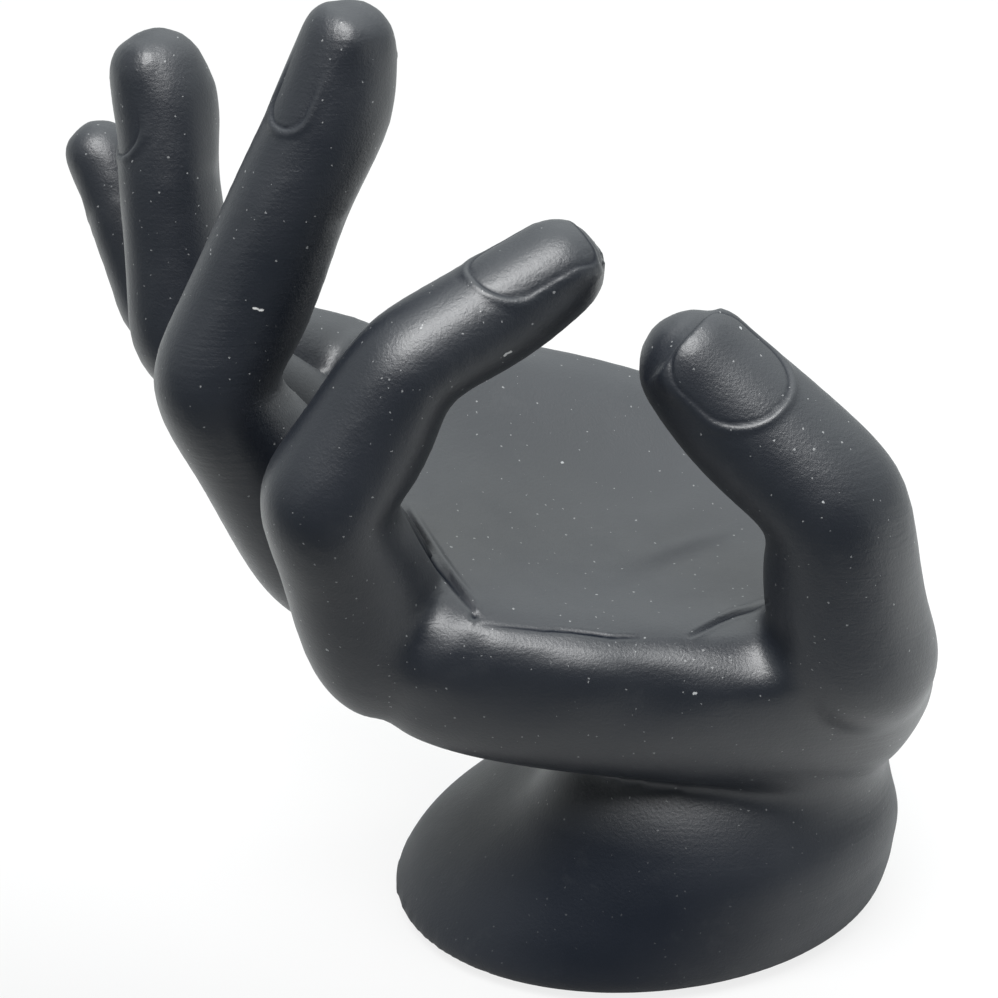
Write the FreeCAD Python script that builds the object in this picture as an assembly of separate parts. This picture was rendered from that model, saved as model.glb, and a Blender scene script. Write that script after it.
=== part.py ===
import FreeCAD, Part
import math
import os

os.makedirs("parts", exist_ok=True)

# Open hand for showing rings, palm up, bent back at the wrist over a flared base.
# It is one casting, cut here at its natural creases into wrist and base, palm, thumb
# and four fingers, with a thin pad stuck under the base. Sizes are in millimetres and
# angles in degrees. +X runs from the fingertips towards the heel of the hand, +Y towards
# the little finger, +Z up. The origin is the middle of the pad's resting face.
# A heading is an angle about +Z from +X, and a rise is an angle above the level.

# Pad under the base
pad_thickness = 1.0
pad_rim_inset = 3.2

# Base and wrist: the rim is an oval, the wrist leans towards the heel of the hand
base_half_length = 38.4
base_half_width = 33.4
base_turn = 36.0
base_height = 41.0
wrist_lean_x = 16.7
wrist_lean_y = 3.0
base_front_bulge = 6.5

# Palm, from the heel to the knuckle row
heel_x = 37.2
heel_y = 1.8
heel_z = 44.3
palm_length = 85.0
palm_heading = 183.5
palm_rise_angle = 11.0
palm_half_width = 35.5
palm_half_thickness = 13.8
palm_hollow_depth = 6.0
palm_cross_heading = 100.0
palm_cross_rise_angle = 18.0

# Finger roots inside the palm
root_length = 24.0

# Index finger, which curls over towards the thumb
index_knuckle_x = -34.8
index_knuckle_y = -24.2
index_knuckle_z = 49.7
index_root_heading = 199.0
index_root_rise_angle = 5.0
index_proximal_length = 31.2
index_proximal_heading = -121.0
index_proximal_rise_angle = 61.0
index_middle_length = 21.0
index_middle_heading = 5.0
index_middle_rise_angle = 60.4
index_distal_length = 28.6
index_distal_heading = 21.8
index_distal_rise_angle = 26.0
index_side_heading = 120.0
index_side_rise_angle = 12.0
index_root_width = 19.5
index_first_joint_width = 18.0
index_last_joint_width = 14.6
index_tip_width = 12.8
index_nail_length = 15.0
index_nail_width = 10.6
index_nail_tip_margin = 1.4
index_nail_turn = 8.0

# Middle finger, nearly upright above its first joint
middle_knuckle_x = -42.8
middle_knuckle_y = -8.2
middle_knuckle_z = 56.4
middle_root_heading = 188.0
middle_root_rise_angle = 8.0
middle_proximal_length = 37.2
middle_proximal_heading = -138.5
middle_proximal_rise_angle = 56.1
middle_middle_length = 27.4
middle_middle_heading = 6.0
middle_middle_rise_angle = 66.3
middle_distal_length = 26.3
middle_distal_heading = 6.0
middle_distal_rise_angle = 69.5
middle_side_heading = 117.0
middle_side_rise_angle = 8.0
middle_root_width = 19.0
middle_first_joint_width = 17.0
middle_last_joint_width = 15.1
middle_tip_width = 11.4
middle_nail_length = 16.0
middle_nail_width = 9.8
middle_nail_tip_margin = 2.5
middle_nail_turn = -3.0

# Ring finger
ring_knuckle_x = -44.2
ring_knuckle_y = 7.8
ring_knuckle_z = 64.6
ring_root_heading = 178.0
ring_root_rise_angle = 12.0
ring_proximal_length = 30.7
ring_proximal_heading = -161.0
ring_proximal_rise_angle = 44.8
ring_middle_length = 22.4
ring_middle_heading = 121.0
ring_middle_rise_angle = 84.0
ring_distal_length = 19.8
ring_distal_heading = 125.0
ring_distal_rise_angle = 79.0
ring_side_heading = 115.0
ring_side_rise_angle = -4.0
ring_root_width = 17.0
ring_first_joint_width = 14.4
ring_last_joint_width = 13.8
ring_tip_width = 12.6
ring_nail_length = 14.0
ring_nail_width = 9.2
ring_nail_tip_margin = 2.5
ring_nail_turn = 3.0

# Little finger
little_knuckle_x = -43.7
little_knuckle_y = 22.8
little_knuckle_z = 72.4
little_root_heading = 170.0
little_root_rise_angle = 15.0
little_proximal_length = 29.5
little_proximal_heading = -164.7
little_proximal_rise_angle = 26.3
little_middle_length = 13.6
little_middle_heading = 149.0
little_middle_rise_angle = 64.5
little_distal_length = 14.6
little_distal_heading = 150.0
little_distal_rise_angle = 63.5
little_side_heading = 119.0
little_side_rise_angle = -18.0
little_root_width = 15.2
little_first_joint_width = 12.6
little_last_joint_width = 11.0
little_tip_width = 10.0
little_nail_length = 11.0
little_nail_width = 7.4
little_nail_tip_margin = 2.0
little_nail_turn = -10.0

# Thumb, which rises opposite the index finger
thumb_root_x = 24.2
thumb_root_y = -4.2
thumb_root_z = 40.0
thumb_root_length = 30.4
thumb_root_heading = -86.5
thumb_root_rise_angle = 24.5
thumb_proximal_length = 25.0
thumb_proximal_heading = -121.1
thumb_proximal_rise_angle = 75.2
thumb_distal_length = 32.3
thumb_distal_heading = 161.0
thumb_distal_rise_angle = 40.0
thumb_side_heading = 225.0
thumb_side_rise_angle = -27.0
thumb_root_width = 20.0
thumb_first_joint_width = 21.6
thumb_last_joint_width = 19.0
thumb_tip_width = 15.8
thumb_nail_length = 14.8
thumb_nail_width = 12.9
thumb_nail_tip_margin = 3.0
thumb_nail_turn = -4.0

# Nails, as shallow seats cast into the fingers. A nail's turn is about the last bone.
nail_seat_depth = 0.5
nail_pitch = 4.0
nail_bend_share = 0.62
nail_height_share = 0.465

# Every round section has this many control points. They stand outside the curve that
# they shape, by the pull.
section_points = 16
section_pull_share = 3.0 / (2.0 + math.cos(2.0 * math.pi / section_points))

# Stations along a finger: bone counted back from the tip, reach along that bone, width
# and depth as shares of the width there, and push towards the back of the finger
limb_station_shares = (
    (3, 0.10, 0.80, 0.80, 0.00), (3, 0.60, 0.98, 1.10, 0.02),
    (2, 0.00, 1.00, 1.30, 0.06), (2, 0.35, 0.98, 1.12, 0.05), (2, 0.70, 0.96, 1.00, 0.02),
    (1, 0.00, 1.02, 1.02, 0.08), (1, 0.30, 1.00, 1.03, -0.02), (1, 0.70, 1.00, 1.03, -0.02),
    (0, 0.00, 1.02, 0.98, 0.01), (0, 0.30, 1.03, 1.02, -0.05), (0, 0.55, 1.04, 1.05, -0.06),
)
tip_push_share = -0.04
tip_angles = (0.0, 28.0, 52.0, 70.0, 84.0)

# Stations along the palm: reach, shift across, lift, width, thickness and hollow as
# shares, squareness of the section, then turn and extra rise in degrees
palm_station_shares = (
    (0.00, -0.05, 0.00, 0.20, 0.30, 0.0, 0.0, -8.0, -7.0),
    (0.00, -0.05, -0.05, 0.52, 0.75, 0.0, 0.0, -8.0, -7.0),
    (0.03, -0.05, -0.10, 0.80, 1.10, 0.0, 0.1, -6.0, -6.0),
    (0.15, -0.04, -0.08, 0.94, 1.20, 0.3, 0.4, -5.0, -5.0),
    (0.33, -0.03, -0.04, 1.00, 1.12, 1.0, 0.8, -4.0, -3.0),
    (0.52, -0.03, 0.00, 1.03, 1.04, 1.1, 1.0, -2.0, 0.0),
    (0.70, -0.04, 0.00, 1.03, 1.02, 0.9, 1.0, 0.0, 2.0),
    (0.86, -0.03, 0.00, 1.00, 1.06, 0.4, 0.9, 0.0, 4.0),
    (0.95, 0.00, 0.00, 0.94, 0.95, 0.1, 0.7, 0.0, 4.0),
    (0.98, 0.00, 0.00, 0.70, 0.30, 0.0, 0.4, 0.0, 4.0),
)

# Section of the palm, from the thumb side over the top: across, up, share of the hollow
palm_section_shares = (
    (-1.02, 0.00, 0.00), (-1.01, 0.55, 0.00), (-0.93, 0.99, 0.00), (-0.66, 1.03, 0.20),
    (-0.32, 1.02, 0.75), (0.05, 1.02, 1.00), (0.40, 1.06, 0.70), (0.74, 1.17, 0.10),
    (0.97, 0.86, 0.00), (1.07, 0.14, 0.00), (0.98, -0.45, 0.00), (0.74, -0.84, 0.00),
    (0.40, -1.04, 0.00), (0.00, -1.10, 0.00), (-0.42, -1.08, 0.00), (-0.80, -0.92, 0.00),
    (-1.00, -0.50, 0.00),
)

# Stations up the base: height, half length, half width, lean towards the wrist, bulge
# towards the thumb side
base_station_shares = (
    (0.00, 0.950, 0.950, 0.00, 0.00), (0.00, 0.990, 0.990, 0.00, 0.00),
    (0.03, 1.015, 1.015, 0.00, 0.00), (0.12, 0.980, 1.020, 0.06, 0.08),
    (0.25, 0.895, 0.990, 0.22, 0.35), (0.38, 0.785, 0.930, 0.44, 0.75),
    (0.50, 0.640, 0.840, 0.62, 1.00), (0.62, 0.535, 0.710, 0.75, 0.95),
    (0.78, 0.470, 0.600, 0.84, 0.50), (1.00, 0.480, 0.560, 0.90, 0.00),
)

# Outline of a nail from its root to its free edge: along, half width
nail_outline_shares = ((0.00, 0.00), (0.03, 0.55), (0.20, 0.93), (0.55, 1.00), (0.88, 0.92), (1.00, 0.55))


def direction(heading, rise):
    """Unit vector at a heading about +Z and a rise above the level."""
    flat = math.cos(math.radians(rise))
    return FreeCAD.Vector(flat * math.cos(math.radians(heading)),
                          flat * math.sin(math.radians(heading)),
                          math.sin(math.radians(rise)))


def oval(centre, across, up, half_width, half_depth):
    """Control points of an oval in the plane of the unit vectors across and up."""
    points = []
    for k in range(section_points):
        angle = 2.0 * math.pi * k / section_points
        out = across * (math.cos(angle) * half_width) + up * (math.sin(angle) * half_depth)
        points.append(centre + out * section_pull_share)
    return points


def skin(sections):
    """Solid inside a smooth surface over the sections' control points, with flat ends."""
    around = len(sections[0])
    rows = len(sections)
    along_counts = [4] + [1] * (rows - 4) + [4]
    around_counts = [1] * (around + 1)
    surface = Part.BSplineSurface()
    surface.buildFromPolesMultsKnots(sections, along_counts, around_counts, list(range(rows - 2)),
                                     list(range(around + 1)), False, True, 3, 3)
    side = surface.toShape().Faces[0]
    ends = [Part.Face(Part.Wire([edge])) for edge in side.Edges if not edge.isSeam(side)]
    shell = Part.Shell([side] + ends)
    shell.sewShape()
    solid = Part.makeSolid(shell.Shells[0])
    if solid.Volume < 0.0:
        solid.reverse()
    return solid


class Limb:
    """Chain of straight bones with its flesh. Each bone is a length, a heading and a rise."""

    def __init__(self, root, bones, side, widths):
        self.ways = [direction(heading, rise) for length, heading, rise in bones]
        self.lengths = [length for length, heading, rise in bones]
        self.side = side
        self.widths = widths
        self.joints = [root]
        for way, length in zip(self.ways, self.lengths):
            self.joints.append(self.joints[-1] + way * length)

    def axes(self, way):
        """Unit vectors across the finger and towards its back, square to the way."""
        across = self.side - way * self.side.dot(way)
        across.normalize()
        return across, way.cross(across)

    def station(self, from_tip, reach, wide, deep, push):
        """Section at a reach along a bone. At a joint it splits the bend in two."""
        bone = len(self.ways) - 1 - from_tip
        way = self.ways[bone]
        place = self.joints[bone] + way * (self.lengths[bone] * reach)
        if reach == 0.0 and bone > 0:
            way = self.ways[bone] + self.ways[bone - 1]
            way.normalize()
        width = self.widths[bone] + (self.widths[bone + 1] - self.widths[bone]) * reach
        across, back = self.axes(way)
        return oval(place + back * (width * push), across, back, width * wide / 2.0, width * deep / 2.0)

    def solid(self):
        """Flesh from the root to the rounded tip."""
        sections = []
        for from_tip, reach, wide, deep, push in limb_station_shares:
            if from_tip < len(self.ways):
                sections.append(self.station(from_tip, reach, wide, deep, push))
        way = self.ways[-1]
        across, back = self.axes(way)
        tip_radius = self.widths[-1] / 2.0
        middle = self.joints[-1] - way * tip_radius + back * (self.widths[-1] * tip_push_share)
        for angle in tip_angles:
            radius = tip_radius * math.cos(math.radians(angle))
            place = middle + way * (tip_radius * math.sin(math.radians(angle)))
            sections.append(oval(place, across, back, radius, radius))
        return skin(sections)

    def nail_seat(self, length, width, tip_margin, turn):
        """What is cut from the back of the tip: the space over a nail bent about the finger."""
        way = self.ways[-1]
        turned = FreeCAD.Rotation(way, turn)
        across, back = [turned.multVec(axis) for axis in self.axes(way)]
        free_edge = self.joints[-1] - way * tip_margin
        bend = width * nail_bend_share
        flesh = nail_height_share * (self.widths[-1] + self.widths[-2]) / 2.0
        axis_height = flesh - nail_seat_depth - bend
        tilted = way * math.cos(math.radians(nail_pitch)) - back * math.sin(math.radians(nail_pitch))
        start_height = axis_height + length * math.sin(math.radians(nail_pitch))
        start = free_edge - way * (2.0 * length) + back * start_height
        plate = Part.makeCylinder(bend, 3.0 * length, start, tilted)
        points = []
        for reach, wide in nail_outline_shares:
            points.append(free_edge - way * (length * (1.0 - reach)) + across * (wide * width / 2.0))
        for reach, wide in nail_outline_shares[:0:-1]:
            points.append(free_edge - way * (length * (1.0 - reach)) - across * (wide * width / 2.0))
        outline = Part.BSplineCurve()
        outline.interpolate(Points=[point + back * axis_height for point in points], PeriodicFlag=True)
        block = Part.Face(Part.Wire([outline.toShape()])).extrude(back * (2.0 * bend))
        return block.cut(plate)


def palm_solid():
    """Palm from the heel to the knuckle row, hollowed on top."""
    along = direction(palm_heading, palm_rise_angle)
    heel = FreeCAD.Vector(heel_x, heel_y, heel_z)
    sections = []
    for reach, shift, lift, wide, thick, hollow, square, turn, rise in palm_station_shares:
        across = direction(palm_cross_heading + turn, palm_cross_rise_angle + rise)
        up = across.cross(along)
        up.normalize()
        place = heel + along * (reach * palm_length) + across * (shift * palm_half_width)
        place += up * (lift * palm_half_thickness)
        section = []
        for u, v, dip in palm_section_shares:
            rounding = square + (1.0 - square) / math.hypot(u, v)
            height = v * rounding * thick * palm_half_thickness - dip * hollow * palm_hollow_depth
            section.append(place + across * (u * rounding * wide * palm_half_width) + up * height)
        sections.append(section)
    return skin(sections)


def base_section(height, long, wide, lean, bulge):
    """Level oval at a share of the base's height, moved by its lean and its bulge."""
    centre = FreeCAD.Vector(lean * wrist_lean_x, lean * wrist_lean_y - bulge * base_front_bulge,
                            pad_thickness + height * base_height)
    return oval(centre, direction(base_turn, 0.0), direction(base_turn + 90.0, 0.0),
                long * base_half_length, wide * base_half_width)


def base_solid():
    """Flared base and wrist in one, up into the heel of the hand."""
    return skin([base_section(*station) for station in base_station_shares])


def pad_solid():
    """Thin pad under the base, set in from the rim by the same amount all round."""
    bottom = base_station_shares[0]
    half_length = bottom[1] * base_half_length - pad_rim_inset
    half_width = bottom[2] * base_half_width - pad_rim_inset
    rim = Part.BSplineCurve()
    rim.buildFromPoles(oval(FreeCAD.Vector(0, 0, 0), direction(base_turn, 0.0),
                            direction(base_turn + 90.0, 0.0), half_length, half_width), True, 3)
    face = Part.Face(Part.Wire([rim.toShape()]))
    return face.extrude(FreeCAD.Vector(0, 0, pad_thickness))


def finger(knuckle, bones, side, widths, nail):
    """Finger whose first bone runs back from the knuckle into the palm."""
    length, heading, rise = bones[0]
    limb = Limb(knuckle - direction(heading, rise) * length, bones, side, (widths[0],) + widths)
    return limb.solid().cut(limb.nail_seat(*nail))


def index_finger():
    return finger(FreeCAD.Vector(index_knuckle_x, index_knuckle_y, index_knuckle_z),
                  ((root_length, index_root_heading, index_root_rise_angle),
                   (index_proximal_length, index_proximal_heading, index_proximal_rise_angle),
                   (index_middle_length, index_middle_heading, index_middle_rise_angle),
                   (index_distal_length, index_distal_heading, index_distal_rise_angle)),
                  direction(index_side_heading, index_side_rise_angle),
                  (index_root_width, index_first_joint_width, index_last_joint_width, index_tip_width),
                  (index_nail_length, index_nail_width, index_nail_tip_margin, index_nail_turn))


def middle_finger():
    return finger(FreeCAD.Vector(middle_knuckle_x, middle_knuckle_y, middle_knuckle_z),
                  ((root_length, middle_root_heading, middle_root_rise_angle),
                   (middle_proximal_length, middle_proximal_heading, middle_proximal_rise_angle),
                   (middle_middle_length, middle_middle_heading, middle_middle_rise_angle),
                   (middle_distal_length, middle_distal_heading, middle_distal_rise_angle)),
                  direction(middle_side_heading, middle_side_rise_angle),
                  (middle_root_width, middle_first_joint_width, middle_last_joint_width, middle_tip_width),
                  (middle_nail_length, middle_nail_width, middle_nail_tip_margin, middle_nail_turn))


def ring_finger():
    return finger(FreeCAD.Vector(ring_knuckle_x, ring_knuckle_y, ring_knuckle_z),
                  ((root_length, ring_root_heading, ring_root_rise_angle),
                   (ring_proximal_length, ring_proximal_heading, ring_proximal_rise_angle),
                   (ring_middle_length, ring_middle_heading, ring_middle_rise_angle),
                   (ring_distal_length, ring_distal_heading, ring_distal_rise_angle)),
                  direction(ring_side_heading, ring_side_rise_angle),
                  (ring_root_width, ring_first_joint_width, ring_last_joint_width, ring_tip_width),
                  (ring_nail_length, ring_nail_width, ring_nail_tip_margin, ring_nail_turn))


def little_finger():
    return finger(FreeCAD.Vector(little_knuckle_x, little_knuckle_y, little_knuckle_z),
                  ((root_length, little_root_heading, little_root_rise_angle),
                   (little_proximal_length, little_proximal_heading, little_proximal_rise_angle),
                   (little_middle_length, little_middle_heading, little_middle_rise_angle),
                   (little_distal_length, little_distal_heading, little_distal_rise_angle)),
                  direction(little_side_heading, little_side_rise_angle),
                  (little_root_width, little_first_joint_width, little_last_joint_width, little_tip_width),
                  (little_nail_length, little_nail_width, little_nail_tip_margin, little_nail_turn))


def thumb():
    limb = Limb(FreeCAD.Vector(thumb_root_x, thumb_root_y, thumb_root_z),
                ((thumb_root_length, thumb_root_heading, thumb_root_rise_angle),
                 (thumb_proximal_length, thumb_proximal_heading, thumb_proximal_rise_angle),
                 (thumb_distal_length, thumb_distal_heading, thumb_distal_rise_angle)),
                direction(thumb_side_heading, thumb_side_rise_angle),
                (thumb_root_width, thumb_first_joint_width, thumb_last_joint_width, thumb_tip_width))
    nail = (thumb_nail_length, thumb_nail_width, thumb_nail_tip_margin, thumb_nail_turn)
    return limb.solid().cut(limb.nail_seat(*nail))


def beside(shape, neighbours):
    """The shape without what its neighbours take, so that they meet face to face."""
    for neighbour in neighbours:
        shape = shape.cut(neighbour)
    return max(shape.Solids, key=lambda piece: piece.Volume)


palm = palm_solid()
index = beside(index_finger(), [palm])
middle = beside(middle_finger(), [palm, index])
ring = beside(ring_finger(), [palm, middle])
little = beside(little_finger(), [palm, ring])
opposed = beside(thumb(), [palm])
wrist = beside(base_solid(), [palm, opposed])

nodes = {
    "wrist_base": wrist,
    "palm": palm,
    "thumb": opposed,
    "index_finger": index,
    "middle_finger": middle,
    "ring_finger": ring,
    "little_finger": little,
    "underside_pad": pad_solid(),
}
for name, shape in nodes.items():
    print(name, shape.isValid(), round(shape.Volume), "mm3")
    shape.exportStep("parts/" + name + ".step")
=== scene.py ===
import math

import bmesh
import bpy
import numpy as np
import openvdb
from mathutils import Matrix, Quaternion, Vector
from mathutils.bvhtree import BVHTree


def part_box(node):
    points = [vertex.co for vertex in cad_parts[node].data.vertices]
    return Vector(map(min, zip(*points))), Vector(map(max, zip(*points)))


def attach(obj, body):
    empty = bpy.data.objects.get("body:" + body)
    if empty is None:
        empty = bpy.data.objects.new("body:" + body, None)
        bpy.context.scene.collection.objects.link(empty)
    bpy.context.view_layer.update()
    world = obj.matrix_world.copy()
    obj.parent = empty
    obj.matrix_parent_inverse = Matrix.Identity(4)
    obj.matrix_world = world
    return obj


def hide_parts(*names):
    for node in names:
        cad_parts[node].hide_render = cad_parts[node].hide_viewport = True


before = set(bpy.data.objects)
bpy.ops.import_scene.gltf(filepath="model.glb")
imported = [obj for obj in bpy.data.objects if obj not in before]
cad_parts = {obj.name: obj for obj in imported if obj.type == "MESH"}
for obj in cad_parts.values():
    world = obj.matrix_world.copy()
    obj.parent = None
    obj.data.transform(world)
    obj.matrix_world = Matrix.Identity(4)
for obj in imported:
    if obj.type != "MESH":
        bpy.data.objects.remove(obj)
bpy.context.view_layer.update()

# Display hand: one skin over the seven nodes of the casting, and the rubber pad under it.
# Shapes are worked out in millimetres, in the frame of the CAD model.
MM = 0.001
PAD_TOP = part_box("underside_pad")[1][2] / MM

# Grid of the distance fields: size of a cell, how far distances are known, first place and count
VOXEL = 1.08
BAND = 8.0
LOW = np.array([-92.0, -56.0, -8.0])
COUNT = np.array([132, 92, 146])

# Camera of the photograph
TARGET = Vector((-20.8, 1.8, 61.0))
DISTANCE = 400.0
ELEVATION = math.radians(22.0)
FOCAL_PIXELS = 2800.0
PHOTO_PIXELS = 998
PHOTO_MIDDLE = 499.0
VIEW_RIGHT = Vector((1.0, 0.0, 0.0))
VIEW_UP = Vector((0.0, math.sin(ELEVATION), math.cos(ELEVATION)))
VIEW_AHEAD = Vector((0.0, math.cos(ELEVATION), -math.sin(ELEVATION)))
EYE = TARGET - VIEW_AHEAD * DISTANCE
SENSOR_WIDTH = 36.0
CLIP_START = 0.05

# Fingers: first joint, bones as length, heading and rise, side as heading and rise, widths at
# the joints, nail as length, width, margin to the tip and turn about the last bone
LIMBS = {
    "thumb": ((24.2, -4.2, 40.0), ((30.4, -86.5, 24.5), (25.0, -121.1, 75.2), (32.3, 161.0, 40.0)),
              (225.0, -27.0), (20.0, 21.6, 19.0, 15.8), (14.8, 12.9, 3.9, -5.0)),
    "index": ((-34.8, -24.2, 49.7), ((31.2, -121.0, 61.0), (21.0, 5.0, 60.4), (28.6, 21.8, 26.0)),
              (120.0, 12.0), (19.5, 18.0, 14.6, 12.8), (15.0, 10.6, 1.4, 8.0)),
    "middle": ((-42.8, -8.2, 56.4), ((37.2, -138.5, 56.1), (27.4, 6.0, 66.3), (26.3, 6.0, 69.5)),
               (117.0, 8.0), (19.0, 17.0, 15.1, 11.4), (16.0, 9.8, 2.5, -3.0)),
    "ring": ((-44.2, 7.8, 64.6), ((30.7, -161.0, 44.8), (22.4, 121.0, 84.0), (19.8, 125.0, 79.0)),
             (115.0, -4.0), (17.0, 14.4, 13.8, 12.6), (14.0, 9.2, 2.5, 3.0)),
    "little": ((-43.7, 22.8, 72.4), ((29.5, -164.7, 26.3), (13.6, 149.0, 64.5), (14.6, 150.0, 63.5)),
               (119.0, -18.0), (15.2, 12.6, 11.0, 10.0), (11.0, 7.4, 2.0, -10.0)),
}
# Nails as they show in the photograph: length, width, margin and turn, roundness of the free
# corners, lift of the free edge, and how much of the length shows
NAILS = {
    "thumb": ((14.2, 12.8, 3.9, -5.0), 0.66, 0.55, 1.3),
    "index": ((15.0, 10.2, 1.7, 8.0), 0.42, 0.0, 1.3),
    "middle": ((14.6, 6.1, 2.8, 17.0), 0.42, 0.0, 0.6),
    "ring": ((13.6, 9.2, 2.6, -1.0), 0.42, 0.0, 0.45),
    "little": ((11.0, 7.2, 2.0, -60.0), 0.42, 0.0, 0.5),
}
# Roundness of a nail's corners as a share of half its width, and how far from a finger's bone the
# nail's places may lie, as a share of its width
FREE_CORNER = 0.42
ROOT_CORNER = 0.92
NAIL_NEAR = 1.2
# Flesh over the flat seat of a nail: drop of its centre line and radius, as shares of the
# finger's width, and how far it reaches beyond the seat
FLESH_DROP = 0.055
FLESH_RADIUS = 0.518
SEAT_REACH = 0.8

# Soft bumps on the skin: centre, how far each reaches, height
BASE_SWELLINGS = (((-7.0, -20.0, 27.5), 8.5, 8.0), ((6.0, -26.0, 27.0), 7.0, 2.8))
EDGE_SWELLINGS = (((-27.5, -37.0, 54.5), 4.5, 0.7), ((-9.0, -38.0, 51.0), 3.5, 0.6),
                  ((6.0, -38.0, 50.5), 6.0, 0.5))
TIP_SWELLINGS = (((-33.5, -15.5, 122.5), 8.0, 1.4), ((-63.0, 8.5, 119.0), 6.0, 0.8))
THUMB_SWELLINGS = (((33.0, -27.0, 44.0), 6.0, 1.2),)

# Fillets where parts run into each other: blur and rounds
WRIST_FILLET = (1.2, 1)
NECK_FILLET = (3.3, 4)
HEEL_FILLET = (3.2, 2)
FINGER_FILLET = (2.0, 1)
WEB_FILLET = (0.8, 1)
# Thumb and index finger have a crisp root above the palm's rim and a wide one below it
ROOT_FILLETS = {"thumb": ((2.0, 1), (5.5, 8)), "index": ((1.3, 1), (5.0, 8))}
# Where one fillet gives way to the next, along X or Z
NECK_X = (2.0, 26.0)
HEEL_X = (24.0, 36.0)
HEEL_Z = (14.0, 26.0)
PALM_RIM_Z = (49.0, 59.0)

# How far a blur reaches, as a share of its sigma
BLUR_REACH = 2.8
# Blur of the skin, and blur, shrink and height range of the softer lower edge of the base
SKIN_BLUR = 0.95
RIM_BLUR, RIM_SHRINK, RIM_Z = 2.3, 0.25, (8.0, 14.0)
SEAT_BLUR, SEAT_SHRINK, SEAT_Z = 1.6, 0.15, (3.0, 6.0)

# Finer faces lie within these distances of thin creases and nail borders
REFINE_REACHES = (2.3, 1.3)
THIN_CREASE = 1.0
# Smoothing goes forward and a little further back, so that the shape doesn't shrink
SMOOTH_STEPS = (0.5, -0.52)
SMOOTH_ROUNDS = 16

# Folds on the palm side of finger joints, by finger and joint: depth. Each reaches round the
# joint by an angle to both sides, and is found by rays from near the joint's middle.
JOINT_FOLDS = {
    ("index", 1): 0.2, ("index", 2): 0.22,
    ("middle", 1): 0.3, ("middle", 2): 0.28,
    ("ring", 1): 0.25, ("ring", 2): 0.25,
    ("little", 1): 0.2, ("little", 2): 0.2,
    ("thumb", 2): 0.2,
}
JOINT_FOLD_WIDTH = 1.25
JOINT_FOLD_ANGLE = 68.0
JOINT_FOLD_STOPS = 9
JOINT_FOLD_START = 0.1

# Creases seen in the photograph: pixels, depth, half width, and height of a lip beside them.
# One with a negative depth stands up.
PHOTO_CREASES = {
    "line beside the root of the index finger": (
        ((406, 512), (423, 541), (439, 567), (456, 589), (474, 612)), 0.5, 0.36, 0.0),
    "lip along that line": (
        ((409, 506), (427, 535), (443, 560), (460, 583), (479, 604)), -0.42, 0.5, 0.0),
    "flash along the near edge of the palm": (
        ((484, 625), (515, 628), (545, 631), (572, 632), (592, 635), (612, 638), (640, 638)),
        0.05, 0.26, 0.03),
    "deeper stretch of the flash": (
        ((555, 630), (592, 634), (612, 637), (640, 637)), 0.2, 0.22, 0.0),
    "fold near the thumb": (
        ((690, 636), (704, 628), (718, 620), (735, 613), (751, 609), (768, 602)), 0.4, 0.24, 0.12),
    "soft hollow across the palm": (
        ((640, 562), (665, 545), (700, 531), (742, 521)), 0.5, 1.7, 0.2),
    "soft ridge beside that hollow": (
        ((612, 600), (650, 572), (700, 556), (745, 552)), -0.35, 2.1, 0.0),
    "dip from the index finger to the near edge": (
        ((476, 632), (472, 648), (468, 668), (464, 690)), 0.45, 2.2, 0.0),
    "dip from the near edge to the thumb": (
        ((772, 632), (774, 655), (780, 678)), 0.3, 2.4, 0.0),
    "burst bubble beside the index finger": (
        ((472, 615), (477, 617)), 0.35, 0.4, 0.15),
    "soft hollow under the thumb's fold": (
        ((700, 630), (730, 622), (766, 620)), 0.25, 1.6, 0.0),
}
# The lip's place and spread, and the spread of a crease's dull bottom, as shares of its half width.
# Only creases narrower than DULL_CREASE are dull.
LIP_AWAY = 2.4
LIP_SPREAD = 1.1
DULL_CREASE = 0.5
DULL_SPREAD = 0.6
# A crease fades to its ends along a power of half a sine wave, which starts a little inside
FADE_START = 0.03
FADE_POWER = 0.6
# How far before and behind a crease its places may lie, seen from the camera
CREASE_BEFORE = 5.0
CREASE_BEHIND = 9.0

# Pale chips seen in the photograph: pixels, and half width
FLECKS = (((504.5, 355.5), (508.0, 353.0), (511.5, 351.5)), ((253.0, 308.0), (263.0, 310.5)))
FLECK_WIDTH = 0.13

# Skin about a nail: fold beside the plate, groove around it, the plate itself, and the flesh that
# stands back beyond its free edge. Fold and groove are stronger at the root, by the second value.
FOLD_RISE, FOLD_AWAY, FOLD_SPREAD = (0.07, 0.13), 0.7, 0.6
GROOVE_DEPTH, GROOVE_SPREAD = (0.17, 0.06), 0.22
GROOVE_DULL, GROOVE_DULL_SPREAD = 0.6, 0.16
GROOVE_LOSS_WHERE_FREE = 0.4
PLATE_DROP = 0.12
BROW_DROP = 0.35
# Ranges over which they come in: the fade past the shown share of the length, the free edge, the
# rim of the plate, the start and the end of the flesh before it
SHOWN_FADE = (-0.3, 0.1)
FREE_RANGE = (-0.8, 0.3)
PLATE_RANGE = (-0.1, 0.4)
BROW_START, BROW_END = (0.0, 0.5), (1.0, 2.4)
# Lift of the free edge: ranges from the rim, along from the root and out from the middle, how
# slowly it starts, and its share at the sides
LIFT_RIM, LIFT_ALONG, LIFT_ACROSS = (-0.1, 0.25), (0.45, 1.05), (0.22, 0.5)
LIFT_POWER = 1.5
LIFT_AT_SIDES = 0.35


def direction(heading, rise):
    flat = math.cos(math.radians(rise))
    return Vector((flat * math.cos(math.radians(heading)), flat * math.sin(math.radians(heading)),
                   math.sin(math.radians(rise))))


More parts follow.
